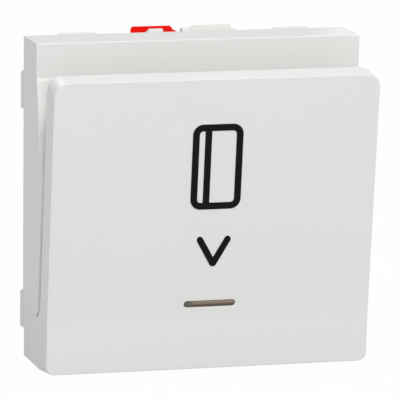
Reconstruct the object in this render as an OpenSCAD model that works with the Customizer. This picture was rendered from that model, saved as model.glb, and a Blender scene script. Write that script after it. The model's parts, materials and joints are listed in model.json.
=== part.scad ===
// Card switch with an indicator lamp, for a two-module mounting frame. Full size, in millimetres.
// X runs to the right as seen from the front, Y to the rear and Z up.
// The origin is the centre of the mounting flange's rear face.

/* [Front body] */
// width of the front body
body_w = 45; // [42:0.5:60]
// height of the front body's top edge above the centre
body_top = 22.5; // [21:0.1:30]
// depth of the plain band along the top edge
band_depth = 7.6; // [6:0.1:12]
// height of the plain band along the top edge
band_h = 5; // [3:0.1:8]
// height of the knee in the card guide face, above the centre
knee_z = 3.4; // [-2:0.1:8]
// wall of the front body
body_wall = 1.6; // [1.2:0.1:2.4]
// radius of the lower edge of the card guide face
guide_r = 2.6; // [1:0.1:4]
// thickness of the ribs inside the front body
rib_t = 1.2; // [0.8:0.1:2]
// distance of the ribs inside the front body from the centre
rib_x = 13.4; // [12:0.1:18]
// depth of the skirt behind the cover's foot
skirt_t = 1.6; // [1:0.1:2.5]
// distance of the two foot tongues from the centre
tongue_x = 14; // [13:0.1:15]
// width of each foot tongue
tongue_w = 8; // [5:0.1:9]
// length of each foot tongue in front of the skirt
tongue_l = 6; // [4:0.1:7]
// height of the snap bump under each tongue
bump_h = 1; // [0.5:0.1:1.5]
// distance of the flange hooks from the body's sides
hook_inset = 3.5; // [3.1:0.1:3.9]
// distance of the flange hooks from the centre, up and down
hook_z = 9; // [6:0.1:12]
// width of each flange hook
hook_w = 4; // [3:0.1:6]
// thickness of each flange hook
hook_t = 1.2; // [0.8:0.1:1.6]
// length of the root of each flange hook
hook_root = 3; // [2:0.1:4]
// height of the toe behind the flange, on each flange hook
hook_toe = 0.9; // [0.7:0.1:1.2]
// how far the toe of each flange hook stands out
hook_out = 0.7; // [0.5:0.1:0.9]

/* [Card cover] */
// distance of the cover's sides from the body's sides
cover_inset = 0.1; // [0:0.05:0.5]
// depth of the cover at its bend, from the body's rear edge
bend_depth = 13.83; // [11:0.1:18]
// height of the bend above the centre
bend_z = -14.17; // [-16:0.1:-12]
// lean of the plate above the bend, in degrees
plate_tilt = 6.78; // [2:0.1:10]
// lean of the foot below the bend, in degrees
foot_lean = 3.05; // [0:0.1:6]
// length of the plate from the bend to its top
plate_len = 32.95; // [28:0.1:40]
// thickness of the plate seen from the side
plate_t = 4.25; // [3.6:0.05:6]
// distance of the cover's bottom below the centre
foot_drop = 21.5; // [20:0.1:26]
// height of the top of the foot above the centre
foot_top = -14.6; // [-15.5:0.1:-13.5]
// gap between the foot and the flange
foot_gap = 0.2; // [0.1:0.05:0.5]
// radius of the plate's top corners
corner_r_top = 1.7; // [0.5:0.1:4]
// radius of the foot's lower corners
corner_r_foot = 1.2; // [0.5:0.1:3]
// front wall of the cover
cover_wall = 1.8; // [1.4:0.1:2]
// width of the rim along the cover's sides and top
rim_w = 2; // [1.4:0.1:3]
// thickness of the liner behind the plate
liner_t = 1.3; // [1:0.1:1.5]
// width of the card slot
slot_gap = 1; // [0.9:0.05:1.5]
// radius of the fillet at the bottom of the card slot
stop_r = 2.4; // [1.5:0.1:3]
// distance of the cover's inner ribs from the centre
cover_rib_x = [7, 14];
// distance of the cover's inner ribs above the lens
cover_rib_s = 3; // [2:0.1:5]
// clearance between fixed pieces that are put together
fit_gap = 0.1; // [0.05:0.01:0.2]
// room beside inner pieces that do not touch
inner_gap = 0.4; // [0.3:0.05:0.5]

/* [Indicator] */
// length of the lens window
lens_w = 7.14; // [5:0.1:10]
// height of the lens window
lens_h = 0.88; // [0.6:0.02:1.2]
// height of the lens centre along the plate, from the bend
lens_s = 1.68; // [1.2:0.02:3]
// how far the lens stands behind the cover's front wall
lens_back = 0.1; // [0:0.05:0.15]
// thickness of the light guide
guide_bar_t = 0.85; // [0.6:0.05:0.9]
// height of the light guide's flat arm
guide_arm_h = 1.6; // [1:0.1:2]
// distance of the lamp from the centre, sideways
lamp_x = 6.6; // [6:0.1:7]
// width of the lamp
lamp_w = 2.6; // [1.6:0.1:3]
// depth of the lamp
lamp_d = 1.2; // [0.8:0.1:1.6]
// height of the lamp
lamp_h = 2; // [1.2:0.1:3]
// thickness of the indicator board
board_t = 1; // [0.8:0.1:1.6]
// gap behind the indicator board
board_gap = 0.4; // [0.3:0.1:0.8]
// width of the indicator board's leg
board_leg_w = 4; // [3:0.1:5]
// height of the indicator board's wide top
board_top_h = 6.5; // [5:0.1:8]
// radius of the resistor
resistor_r = 1.1; // [0.6:0.1:1.5]
// length of the resistor
resistor_l = 6; // [4:0.1:8]
// radius of the contact pins between board and terminals
lamp_pin_r = 0.5; // [0.3:0.05:0.8]
// radius of the posts under the indicator board
post_r = 0.8; // [0.5:0.05:1]
// distance of the upper posts from the board's edges
post_inset = 1; // [0.8:0.1:1.5]
// height of the lower post above the board's lower end
post_rise = 3; // [2:0.1:4]

/* [Printed symbol] */
// sideways place of the symbol's centre
symbol_x = 0.18; // [-2:0.01:2]
// width of the card outline
symbol_w = 6.92; // [4:0.02:9]
// height of the card outline
symbol_h = 11.76; // [8:0.02:14]
// height of the card outline's lower edge along the plate, from the bend
symbol_s = 15; // [12:0.1:18]
// width of the symbol's lines
symbol_line = 0.89; // [0.5:0.01:1.2]
// corner radius of the card outline
symbol_r = 1.4; // [1:0.05:2]
// distance of the stripe from the outline's left edge
stripe_x = 1.7; // [1.2:0.05:3]
// height of the arrow's point along the plate, from the bend
arrow_s = 7.41; // [6:0.05:9]
// length of each arm of the arrow
arrow_l = 3.55; // [2:0.05:5]
// half of the arrow's angle, in degrees
arrow_angle = 30; // [20:1:50]
// thickness of the printed ink
ink_t = 0.05; // [0.03:0.01:0.1]

/* [Plunger] */
// height of the plunger's axis above the centre
plunger_z = -7.5; // [-8.5:0.1:-6]
// width of the plunger's nose
nose_w = 6; // [4:0.1:8]
// height of the plunger's nose
nose_h = 4; // [3:0.1:5]
// how far the nose reaches past the card slot
nose_reach = 0.8; // [0.3:0.05:1]
// travel of the plunger
plunger_travel = 2; // [1.5:0.1:2.4]
// how far the plunger's shoulder stands out around the nose
shoulder_out = 0.6; // [0.4:0.1:1]
// thickness of the plunger's shoulder
shoulder_t = 1; // [0.6:0.1:1.6]
// radius of the plunger's stem
stem_r = 1.2; // [0.8:0.05:1.4]
// clearance around sliding and turning pieces
run_gap = 0.05; // [0.03:0.01:0.1]
// clearance around the plunger's nose in its window
nose_gap = 0.15; // [0.1:0.01:0.3]
// mean radius of the plunger spring
plunger_spring_r = 2; // [1.8:0.05:2.4]
// radius of the spring wire
wire_r = 0.2; // [0.15:0.01:0.25]
// turns of the plunger spring
plunger_spring_turns = 4.5; // [3:0.5:6]

/* [Rear housing] */
// thickness of the mounting flange
flange_t = 1.6; // [1.2:0.1:2.5]
// distance of the flange's edge from the body's edge
flange_inset = 0.6; // [0.4:0.05:1]
// distance of the flange lugs from the centre
lug_x = 15.1; // [12:0.1:18]
// length of each flange lug at its root
lug_w = 5.4; // [3:0.1:8]
// taper of each flange lug at each end
lug_taper = 0.4; // [0:0.05:0.8]
// width of the housing behind the flange
housing_w = 33; // [32:0.1:36]
// height of the housing behind the flange
housing_h = 36.4; // [35:0.1:40]
// depth of the housing behind the flange's rear face
housing_d = 18; // [17:0.1:24]
// wall of the housing
housing_wall = 1.5; // [1.2:0.1:2]
// how far the housing's ledges stand out, above and below
ledge_out = 0.8; // [0.5:0.1:1]
// thickness of the housing's ledges
ledge_t = 0.8; // [0.6:0.1:1]
// thickness of the plate that closes the housing
plate_cover_t = 1.2; // [0.8:0.1:1.5]
// distance of the shelves from the centre
shelf_z = 6.3; // [5.8:0.1:6.8]
// thickness of the shelves and chamber walls
chamber_wall = 1.2; // [0.8:0.1:1.6]
// places of the two guards in front of the upper buttons
guard_x = [-3.55, 1.25];
// width of each guard
guard_w = 2.4; // [1.5:0.1:3]
// depth of each guard
guard_d = 1.4; // [1:0.1:1.6]
// how far the guards stand above the body's edge
guard_rise = 0.05; // [0:0.05:0.5]
// chamfer of each guard
guard_chamfer = 0.45; // [0.2:0.05:0.6]
// height of each guard's root on the flange
guard_root = 2; // [1.5:0.1:2.5]

/* [Terminals] */
// sideways place of the middle of the upper terminals
term_mid = 0.45; // [-1:0.05:1]
// distance between the upper terminals
term_pitch = 8.4; // [8:0.1:9]
// distance of the wire entries from the centre, up and down
wire_z = 12.2; // [11.8:0.1:12.4]
// radius of the wire entries
wire_entry_r = 2; // [1.6:0.1:2.2]
// distance of the terminal bars from the centre
bar_z = 13.4; // [13.2:0.1:13.8]
// thickness of the terminal bars and contact strips
bar_t = 0.8; // [0.6:0.05:1]
// width of the narrow end of the terminal bars
bar_w = 3.4; // [3:0.1:3.6]
// depth of the terminal bars' front edge
bar_front = 1.4; // [1.2:0.1:1.8]
// length of the terminal bars
bar_l = 11.6; // [11:0.1:13]
// length of the narrow end of the terminal bars
bar_neck = 4.4; // [3.6:0.1:4.6]
// width of the clamp springs
leaf_w = 5; // [4:0.1:5.4]
// thickness of the clamp springs
leaf_t = 0.4; // [0.3:0.05:0.5]
// bend radius of the clamp springs
leaf_r = 1.2; // [0.8:0.1:1.4]
// depth of the clamp springs' bend
leaf_y = 10; // [9.5:0.1:11]
// length of the clamp springs' flat leg
leaf_foot = 5.5; // [4:0.1:6.5]
// rise of the clamp springs' free leg, in degrees
leaf_angle = 25.5; // [24:0.5:30]

/* [Release buttons] */
// width of the buttons
button_w = 5.5; // [4.5:0.1:5.8]
// depth of the buttons
button_d = 2; // [1.6:0.1:2.2]
// depth of the buttons' front face behind the flange
button_y = 2.4; // [2.2:0.1:2.8]
// how far the buttons stand above the body's edge
button_rise = 0.2; // [0:0.05:1]
// height of the buttons' heads
button_h = 2.6; // [2:0.1:3]
// travel of the buttons
button_travel = 1.8; // [1.2:0.1:1.8]
// width of the shoulder beside each button's head
button_step = 0.9; // [0.5:0.1:1]
// drop of the shoulder below the top of each button's head
button_step_drop = 0.5; // [0.3:0.05:1]
// width of each button leg
button_leg = 0.65; // [0.5:0.05:0.8]
// chamfer of the buttons' heads
button_chamfer = 0.35; // [0.1:0.05:0.5]
// how much thinner the buttons' legs are than their heads, in front and behind
button_relief = 0.2; // [0.1:0.05:0.3]

/* [Contacts] */
// depth of the contact arm's middle plane behind the flange
arm_y = 6; // [5.5:0.1:6.5]
// height of the contact arm's pivot above the centre
pivot_z = 3; // [2:0.1:3.4]
// thickness of the contact arm
arm_t = 1; // [0.6:0.05:1.2]
// width of the contact arm
arm_w = 4; // [3:0.1:4.4]
// radius of the contact arm's hub
hub_r = 1.6; // [1.3:0.05:1.8]
// radius of the pivot pin
pin_r = 0.75; // [0.5:0.05:1]
// height of the contacts above the centre
contact_z = -11.6; // [-12:0.1:-11]
// radius of the contacts
contact_r = 1.5; // [1:0.05:1.7]
// thickness of each contact
contact_t = 0.7; // [0.4:0.05:0.9]
// metal around the contacts
contact_land = 0.3; // [0.2:0.05:0.5]
// radius of the contact rivet's shank
rivet_r = 0.9; // [0.6:0.05:1.1]
// swing of the contact arm, in degrees
arm_swing = 10.96; // [8:0.02:12]
// gap between contact faces and between plunger and arm at rest
contact_gap = 0.05; // [0.03:0.01:0.1]
// height of the contact spring above the centre
contact_spring_z = -2; // [-3:0.1:-1.5]
// mean radius of the contact spring
contact_spring_r = 1.5; // [1.2:0.05:1.6]
// length of the contact spring
contact_spring_l = 5; // [4:0.1:6]
// turns of the contact spring
contact_spring_turns = 4; // [3:0.5:5]

/* [Hidden] */

$fn = 48;
eps = 0.01;
over = 1;

white = [0.93, 0.93, 0.91];
pale = [0.85, 0.85, 0.84];
red = [0.88, 0.12, 0.09];
copper = [0.78, 0.5, 0.33];
steel = [0.72, 0.73, 0.75];
silver = [0.85, 0.86, 0.87];

half_w = body_w / 2;
hook_x = half_w - hook_inset;
body_rear = -flange_t;
cover_half = half_w - cover_inset;
bend_y = body_rear - bend_depth;
foot_rear = body_rear - foot_gap;
band_y = body_rear - band_depth;
band_z = body_top - band_h;
flange_w = half_w - flange_inset;
flange_h = body_top - flange_inset;
house_x = housing_w / 2;
house_z = housing_h / 2;
room_x = house_x - housing_wall;
room_z = house_z - housing_wall;
room_y = housing_d - housing_wall;
closing_y = body_rear + plate_cover_t;

function plate_front(z) = bend_y - (z - bend_z) * tan(plate_tilt);
function plate_rear(z) = plate_front(z) + plate_t / cos(plate_tilt);
function guide_face(z) = plate_rear(z) + slot_gap / cos(plate_tilt);
function foot_front(z) = bend_y + (bend_z - z) * tan(foot_lean);
function behind(p, d) = p + d * [cos(plate_tilt), sin(plate_tilt)];
function inside_plate(z, d) = [plate_front(z) + d / cos(plate_tilt), z];
function arc(c, r, from, to, n) =
  [for (i = [0:n]) c + r * [cos(from + (to - from) * i / n), sin(from + (to - from) * i / n)]];

plate_tip = [bend_y, bend_z] + plate_len * [-sin(plate_tilt), cos(plate_tilt)];
plate_tip_rear = behind(plate_tip, plate_t);
stop_c = [plate_rear(foot_top + stop_r) + stop_r / cos(plate_tilt), foot_top + stop_r];
edge_c = [guide_face(foot_top + guide_r) + guide_r / cos(plate_tilt), foot_top + guide_r];
knee = [guide_face(knee_z), knee_z];
skirt_front = body_rear - skirt_t;
deck_end = skirt_front - fit_gap;
deck_under = foot_top - liner_t;
foot_floor = -foot_drop + cover_wall;

line_x = term_mid - term_pitch / 2;
neutral_x = term_mid + term_pitch / 2;
chamber_half = (term_pitch - chamber_wall) / 2;
bar_wide = 2 * (chamber_half - fit_gap);
load_x = room_x - chamber_half - inner_gap;
chamber_x = load_x - chamber_half - 2 * fit_gap - chamber_wall;
bar_end = bar_front + bar_l;
shelf_top = shelf_z + chamber_wall;
pivot = [0, arm_y, pivot_z];
arm_front = arm_y - arm_t / 2;
arm_rear = arm_y + arm_t / 2;
strap_z = pivot_z + hub_r + inner_gap + run_gap * 4;
ear_in = arm_w / 2 + inner_gap;
ear_out = ear_in + bar_t;
shoulder_h = nose_h + 2 * shoulder_out;
shoulder_y = guide_face(plunger_z - shoulder_h / 2) + body_wall / cos(plate_tilt) + fit_gap;
stem_end = arm_front - 2 * contact_gap;
post_y = arm_rear + contact_spring_l;
board_y = body_rear - board_gap;
board_face = board_y - board_t;
board_low = foot_top + body_wall + inner_gap + 2 * fit_gap;
board_high = room_z - 3 * inner_gap;
board_left = line_x - 2.2;
board_right = lamp_x + board_leg_w / 2;
lamp_low = board_low + 2 * fit_gap;
guide_top = deck_under - fit_gap;
guide_low = guide_top - guide_arm_h;
lamp_front = board_face - lamp_d - inner_gap;
open_x = -load_x;
closed_x = load_x;

// a profile drawn in depth and height, drawn out sideways about the centre
module sideways(w) {
  rotate([90, 0, 90]) linear_extrude(height = w, center = true) children();
}

// a profile drawn in width and height, drawn out to the rear from y0 to y1
module rearward(y0, y1) {
  translate([0, y1, 0]) rotate([90, 0, 0]) linear_extrude(height = y1 - y0) children();
}

// a box from one corner to the opposite one
module box(a, b) {
  translate(a) cube(b - a);
}

// the plate's outer face: sideways, up along the plate and out to the front
module on_plate() {
  translate([0, bend_y, bend_z]) rotate([90 + plate_tilt, 0, 0]) children();
}

// the foot's outer face, in the same way
module on_foot() {
  translate([0, bend_y, bend_z]) rotate([90 + foot_lean, 0, 0]) children();
}

// both sides of the middle plane
module both_sides() {
  children();
  mirror([1, 0, 0]) children();
}

// what rounds one upright corner of a slab
module corner_cut(r, depth) {
  difference() {
    translate([-r, -r, -depth]) cube([r + over, r + over, depth + over]);
    translate([-r, -r, -depth - over]) cylinder(r = r, h = depth + 3 * over);
  }
}

// a stadium outline
module stadium(w, h) {
  square([w - h, h], center = true);
  translate([(w - h) / 2, 0]) circle(d = h);
  translate([(h - w) / 2, 0]) circle(d = h);
}

// ring of wire points round one place on a coil
function coil_ring(r, wire, len, turns, i, n) =
  let (a = 360 * turns * i / n, e1 = [cos(a), 0, sin(a)],
       t = [-r * sin(a), len / (turns * 2 * PI), r * cos(a)], c = cross(t, e1), e2 = c / norm(c))
  [for (k = [0:5]) [r * cos(a), len * i / n, r * sin(a)] + wire * (cos(60 * k) * e1 + sin(60 * k) * e2)];

// least gap between the turns of a coil, measured on its points
function coil_gap(r, wire, len, turns) =
  let (n = round(turns * 8),
       c = [for (i = [0:n]) let (a = 360 * turns * i / n) [r * cos(a), len * i / n, r * sin(a)]])
  min([for (i = [0:n]) for (j = [i + 5:1:n]) norm(c[i] - c[j])]) - 2 * wire;

// a wire coil along Y
module coil(r, wire, len, turns) {
  n = round(turns * 8);
  points = [for (i = [0:n]) each coil_ring(r, wire, len, turns, i, n)];
  sides = [for (i = [0:n - 1]) for (k = [0:5]) each [
    [6 * i + k, 6 * i + (k + 1) % 6, 6 * i + 6 + k],
    [6 * i + (k + 1) % 6, 6 * i + 6 + (k + 1) % 6, 6 * i + 6 + k]]];
  ends = [for (k = [1:4]) each [[0, k + 1, k], [6 * n, 6 * n + k, 6 * n + k + 1]]];
  polyhedron(points = points, faces = concat(sides, ends));
}

// Front pieces

module card_cover() {
  outline = concat(
    [[foot_rear, -foot_drop], [foot_front(-foot_drop), -foot_drop], [bend_y, bend_z]],
    [plate_tip, plate_tip_rear],
    arc(stop_c, stop_r, 180 + plate_tilt, 270, 10), [[foot_rear, foot_top]]);
  rim_tip = [bend_y, bend_z] + (plate_len - rim_w) * [-sin(plate_tilt), cos(plate_tilt)];
  hollow = [
    [foot_rear + over, foot_floor], [foot_front(foot_floor) + cover_wall, foot_floor],
    [bend_y + cover_wall / cos(plate_tilt), bend_z], behind(rim_tip, cover_wall),
    behind(rim_tip, plate_t + over), [stop_c[0], stop_c[1] + over], [foot_rear + over, foot_top + over]];
  color(white) difference() {
    union() {
      difference() {
        sideways(2 * cover_half) polygon(outline);
        sideways(2 * (cover_half - rim_w)) polygon(hollow);
      }
      both_sides() for (x = cover_rib_x) on_plate()
        box(
          [x - rib_t / 2, lens_s + cover_rib_s, liner_t + run_gap - plate_t],
          [x + rib_t / 2, plate_len - rim_w + eps, eps - cover_wall]);
    }
    both_sides() on_plate() translate([cover_half, plate_len, 0]) corner_cut(corner_r_top, plate_t + over);
    both_sides() on_foot() translate([cover_half, -(foot_drop + bend_z) / cos(foot_lean), 0])
      rotate([0, 0, -90]) corner_cut(corner_r_foot, plate_t);
    on_plate() translate([0, lens_s, -cover_wall - over])
      linear_extrude(height = cover_wall + 2 * over) stadium(lens_w, lens_h);
    both_sides() translate([tongue_x, skirt_front - tongue_l / 2, 0]) box(
      [-tongue_w / 4 - 2 * fit_gap, -bump_h - 2 * fit_gap, -foot_drop - over],
      [tongue_w / 4 + 2 * fit_gap, bump_h + 2 * fit_gap, foot_floor + over]);
  }
}

module cover_liner() {
  liner_tip = [bend_y, bend_z] + (plate_len - rim_w - fit_gap) * [-sin(plate_tilt), cos(plate_tilt)];
  inner_y = plate_rear(deck_under) - liner_t / cos(plate_tilt);
  outline = concat(
    [[inner_y, deck_under], behind(liner_tip, plate_t - liner_t), behind(liner_tip, plate_t)],
    arc(stop_c, stop_r, 180 + plate_tilt, 270, 10), [[deck_end, foot_top], [deck_end, deck_under]]);
  color(white) difference() {
    sideways(2 * (cover_half - rim_w - fit_gap)) polygon(outline);
    box(
      [-nose_w / 2 - 2 * nose_gap, plate_front(plunger_z), plunger_z - nose_h / 2 - 2 * nose_gap],
      [nose_w / 2 + 2 * nose_gap, stop_c[0], plunger_z + nose_h / 2 + 2 * nose_gap]);
    box(
      [lamp_x - lamp_w / 2 - 2 * fit_gap, lamp_front - 2 * fit_gap, deck_under - over],
      [lamp_x + lamp_w / 2 + 2 * fit_gap, body_rear, foot_top + over]);
  }
}

module indicator_lens() {
  color([0.35, 0.3, 0.25]) on_plate() translate([0, lens_s, -cover_wall - lens_back])
    linear_extrude(height = cover_wall + lens_back - run_gap)
      stadium(lens_w - 2 * run_gap, lens_h - 2 * run_gap);
}

module light_guide() {
  bar_in = cover_wall + lens_back + run_gap;
  tip = [bend_y, bend_z] + (lens_s + lens_h) * [-sin(plate_tilt), cos(plate_tilt)];
  color([0.85, 0.9, 0.95]) union() {
    sideways(lens_w) polygon([
      inside_plate(guide_low, bar_in), behind(tip, bar_in), behind(tip, bar_in + guide_bar_t),
      inside_plate(guide_top, bar_in + guide_bar_t),
      [deck_end - fit_gap, guide_top], [deck_end - fit_gap, guide_low]]);
    box([0, lamp_front, guide_low], [lamp_x + lamp_w / 2, deck_end - fit_gap, guide_top]);
    box(
      [lamp_x - lamp_w / 2, lamp_front, guide_low],
      [lamp_x + lamp_w / 2, deck_end - fit_gap, foot_top + body_wall / 2]);
  }
}

module card_symbol() {
  color([0.1, 0.1, 0.1]) on_plate() linear_extrude(height = ink_t) translate([symbol_x, 0]) {
    translate([0, symbol_s + symbol_h / 2]) {
      difference() {
        round_rect(symbol_w, symbol_h, symbol_r);
        round_rect(symbol_w - 2 * symbol_line, symbol_h - 2 * symbol_line, symbol_r - symbol_line);
      }
      translate([stripe_x - symbol_w / 2, symbol_line / 2 - symbol_h / 2])
        square([symbol_line, symbol_h - symbol_line]);
    }
    translate([0, arrow_s]) {
      circle(d = symbol_line);
      for (a = [-arrow_angle, arrow_angle]) rotate(a) {
        translate([-symbol_line / 2, 0]) square([symbol_line, arrow_l]);
        translate([0, arrow_l]) circle(d = symbol_line);
      }
    }
  }
}

// a rectangle with round corners, about its centre
module round_rect(w, h, r) {
  square([w - 2 * r, h], center = true);
  square([w, h - 2 * r], center = true);
  for (x = [-1, 1]) for (y = [-1, 1]) translate([x * (w / 2 - r), y * (h / 2 - r)]) circle(r = r);
}

module front_body() {
  outline = concat(
    [[body_rear, foot_top], [body_rear, body_top], [band_y, body_top], [band_y, band_z], knee],
    arc(edge_c, guide_r, 180 + plate_tilt, 270, 10));
  floor_z = foot_top + body_wall;
  wall_y = body_wall / cos(plate_tilt);
  hollow = [
    [body_rear + over, floor_z], [body_rear + over, body_top - body_wall],
    [band_y + body_wall, body_top - body_wall],
    [band_y + body_wall, band_z - body_wall / 4], [knee[0] + wall_y, knee[1]],
    [guide_face(foot_top + guide_r) + wall_y, foot_top + guide_r], [edge_c[0], floor_z]];
  skirt_x = cover_half - rim_w - 2 * fit_gap;
  tongue_low = foot_floor + fit_gap;
  color(white) difference() {
    union() {
      difference() {
        sideways(body_w) polygon(outline);
        sideways(body_w - 2 * body_wall) polygon(hollow);
      }
      intersection() {
        sideways(body_w - 2 * body_wall) polygon(outline);
        both_sides() box([rib_x, knee[0], foot_top], [rib_x + rib_t, body_rear, body_top]);
      }
      box([-skirt_x, skirt_front, tongue_low], [skirt_x, body_rear, foot_top + eps]);
      both_sides() {
        box(
          [tongue_x - tongue_w / 2, skirt_front - tongue_l, tongue_low],
          [tongue_x + tongue_w / 2, skirt_front + eps, deck_under - fit_gap]);
        box(
          [tongue_x - tongue_w / 4, skirt_front - tongue_l / 2 - bump_h, tongue_low - bump_h],
          [tongue_x + tongue_w / 4, skirt_front - tongue_l / 2 + bump_h, tongue_low + eps]);
        for (z = [-hook_z, hook_z]) translate([hook_x, 0, z]) {
          box(
            [-hook_t / 2, body_rear - hook_root, -hook_w / 2],
            [hook_inset - body_wall + eps, body_rear - fit_gap, hook_w / 2]);
          box([-hook_t / 2, body_rear - hook_root, -hook_w / 2], [hook_t / 2, hook_toe, hook_w / 2]);
          box([-hook_t / 2, fit_gap / 2, -hook_w / 2], [hook_t / 2 + hook_out, hook_toe, hook_w / 2]);
        }
      }
    }
    box(
      [-nose_w / 2 - nose_gap, knee[0] - over, plunger_z - nose_h / 2 - nose_gap],
      [nose_w / 2 + nose_gap, shoulder_y - fit_gap, plunger_z + nose_h / 2 + nose_gap]);
    box(
      [lamp_x - lamp_w / 2 - fit_gap, lamp_front - fit_gap, deck_under],
      [lamp_x + lamp_w / 2 + fit_gap, skirt_front - eps, floor_z + over]);
  }
}

// Plunger

module card_plunger() {
  tip_y = plate_rear(plunger_z) - nose_reach;
  low = plunger_z - nose_h / 2;
  color(pale) union() {
    sideways(nose_w) polygon([
      [shoulder_y + eps, low], [tip_y + 0.5, low], [tip_y, low + 0.7], [tip_y, low + 1.2],
      [tip_y + (nose_h - 1.2), low + nose_h], [shoulder_y + eps, low + nose_h]]);
    box(
      [-nose_w / 2 - shoulder_out, shoulder_y, plunger_z - shoulder_h / 2],
      [nose_w / 2 + shoulder_out, shoulder_y + shoulder_t, plunger_z + shoulder_h / 2]);
    translate([0, shoulder_y, plunger_z]) rotate([-90, 0, 0])
      cylinder(r = stem_r, h = stem_end - stem_r - shoulder_y);
    translate([0, stem_end - stem_r, plunger_z]) sphere(r = stem_r);
  }
}

module plunger_spring() {
  y0 = shoulder_y + shoulder_t + wire_r + fit_gap;
  len = body_rear - wire_r - fit_gap - y0;
  least = coil_gap(plunger_spring_r, wire_r, len, plunger_spring_turns);
  echo(str("plunger spring, least gap between turns: ", least));
  color(steel) translate([0, y0, plunger_z]) coil(plunger_spring_r, wire_r, len, plunger_spring_turns);
}

// Rear housing

module flange_lugs(reach) {
  half = lug_w / 2;
  for (side = [-lug_x, lug_x]) translate([0, 0, side]) both_sides()
    translate([reach - 2 * flange_inset, 0, 0]) rotate([90, 0, 90]) linear_extrude(height = 2 * flange_inset)
      polygon([[body_rear, -half], [body_rear, half], [0, half - lug_taper], [0, lug_taper - half]]);
}

module button_slot(x) {
  box(
    [x - button_w / 2 + run_gap, button_y + button_relief - fit_gap, room_z - over],
    [x + button_w / 2 - run_gap, button_y + button_d - button_relief + fit_gap, house_z + over]);
}

module guard_tab(x) {
  top = body_top + guard_rise;
  low = flange_h - guard_root;
  half = guard_w / 2;
  rearward(-eps, guard_d) polygon([
    [x - half, low], [x - half, top - guard_chamfer], [x - half + guard_chamfer, top],
    [x + half - fit_gap, top], [x + half, low]]);
}

module mounting_flange() {
  window_x = house_x + fit_gap;
  window_z = house_z + fit_gap;
  color(pale) difference() {
    union() {
      box([-flange_w, body_rear, -flange_h], [flange_w, 0, flange_h]);
      flange_lugs(half_w);
      rotate([0, 90, 0]) flange_lugs(body_top);
      for (x = guard_x) guard_tab(x);
    }
    box([-window_x, body_rear - over, -window_z], [window_x, over, window_z]);
    box(
      [-window_x, body_rear - over, -window_z - ledge_out],
      [window_x, body_rear + ledge_t, window_z + ledge_out]);
    both_sides() for (z = [-hook_z, hook_z]) translate([hook_x, 0, z])
      box([-hook_t / 2 - 2 * fit_gap, body_rear - over, -hook_w / 2 - 2 * fit_gap],
        [hook_t / 2 + hook_out + 2 * fit_gap, over, hook_w / 2 + 2 * fit_gap]);
  }
}

module rear_housing() {
  color(pale) difference() {
    union() {
      difference() {
        union() {
          box([-house_x, body_rear, -house_z], [house_x, room_y, house_z]);
          box(
            [-house_x, body_rear, -house_z - ledge_out],
            [house_x, body_rear + ledge_t, house_z + ledge_out]);
        }
        box([-room_x, body_rear - over, -room_z], [room_x, room_y + over, room_z]);
      }
      chamber_walls();
      translate([0, post_y, contact_spring_z]) rotate([-90, 0, 0])
        cylinder(r = contact_spring_r + 2 * wire_r, h = room_y - post_y);
      box([-chamber_wall / 2, post_y, contact_spring_z], [chamber_wall / 2, room_y, shelf_z + eps]);
    }
    for (x = [line_x, neutral_x]) button_slot(x);
    mirror([0, 0, 1]) for (x = [open_x, closed_x]) button_slot(x);
  }
}

// closes the housing behind and lets the wires in
module rear_cover() {
  entries = [[line_x, wire_z], [neutral_x, wire_z], [open_x, -wire_z], [closed_x, -wire_z]];
  color(pale) rearward(room_y, housing_d) difference() {
    square([housing_w, housing_h], center = true);
    for (p = entries) translate(p) circle(r = wire_entry_r);
  }
}

// shelves and walls that part the terminals from the contacts
module chamber_walls() {
  front = closing_y;
  side = room_x + eps;
  rear = room_y;
  top = room_z + eps;
  strip = 2 * fit_gap;
  difference() {
    union() {
      box([-side, bar_front + bar_t + inner_gap, shelf_z], [side, rear, shelf_top]);
      for (x = [line_x, neutral_x]) both_walls(x, shelf_z, top);
      both_sides() {
        box([chamber_x, front, -top], [chamber_x + chamber_wall, rear, -shelf_z]);
        box([chamber_x, bar_front + bar_t + inner_gap, -shelf_top], [side, rear, -shelf_z]);
      }
    }
    box([-chamber_x - chamber_wall - over, bar_strap_y - strip, -bar_z - bar_t - strip],
      [0, bar_end + strip, strip - bar_z]);
    box([0, bar_front - strip, -bar_z - bar_t - strip],
      [chamber_x + chamber_wall + over, arm_front - contact_t - contact_gap + strip, strip - bar_z]);
  }
}

// the two walls and bar ledges of one upper chamber
module both_walls(x, low, high) {
  for (s = [-1, 1]) translate([x, 0, 0]) mirror([s < 0 ? 1 : 0, 0, 0]) {
    box([chamber_half, closing_y, low], [chamber_half + chamber_wall, room_y, high]);
    box(
      [leaf_w / 2 + 2 * fit_gap, bar_front + bar_neck + inner_gap, bar_z - chamber_wall],
      [chamber_half + eps, bar_end, bar_z]);
  }
}

module mechanism_plate() {
  color(pale) difference() {
    union() {
      box([fit_gap - room_x, body_rear, fit_gap - room_z], [room_x - fit_gap, closing_y, room_z - fit_gap]);
      for (p = board_posts) translate([p[0], board_y, p[1]]) rotate([-90, 0, 0])
        cylinder(r = post_r, h = board_gap + eps);
    }
    translate([0, body_rear - over, plunger_z]) rotate([-90, 0, 0])
      cylinder(r = stem_r + run_gap, h = plate_cover_t + 2 * over);
    for (x = [line_x, neutral_x]) translate([x, body_rear - over, lamp_pin_z]) rotate([-90, 0, 0])
      cylinder(r = lamp_pin_r + fit_gap, h = plate_cover_t + 2 * over);
  }
}

lamp_pin_z = board_high - board_top_h / 2;
board_posts = [
  [board_left + post_inset, board_high - post_inset], [board_right - post_inset, board_high - post_inset],
  [lamp_x, board_low + post_rise]];

// Terminals

bar_strap_y = bar_end - 2.6;

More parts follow.
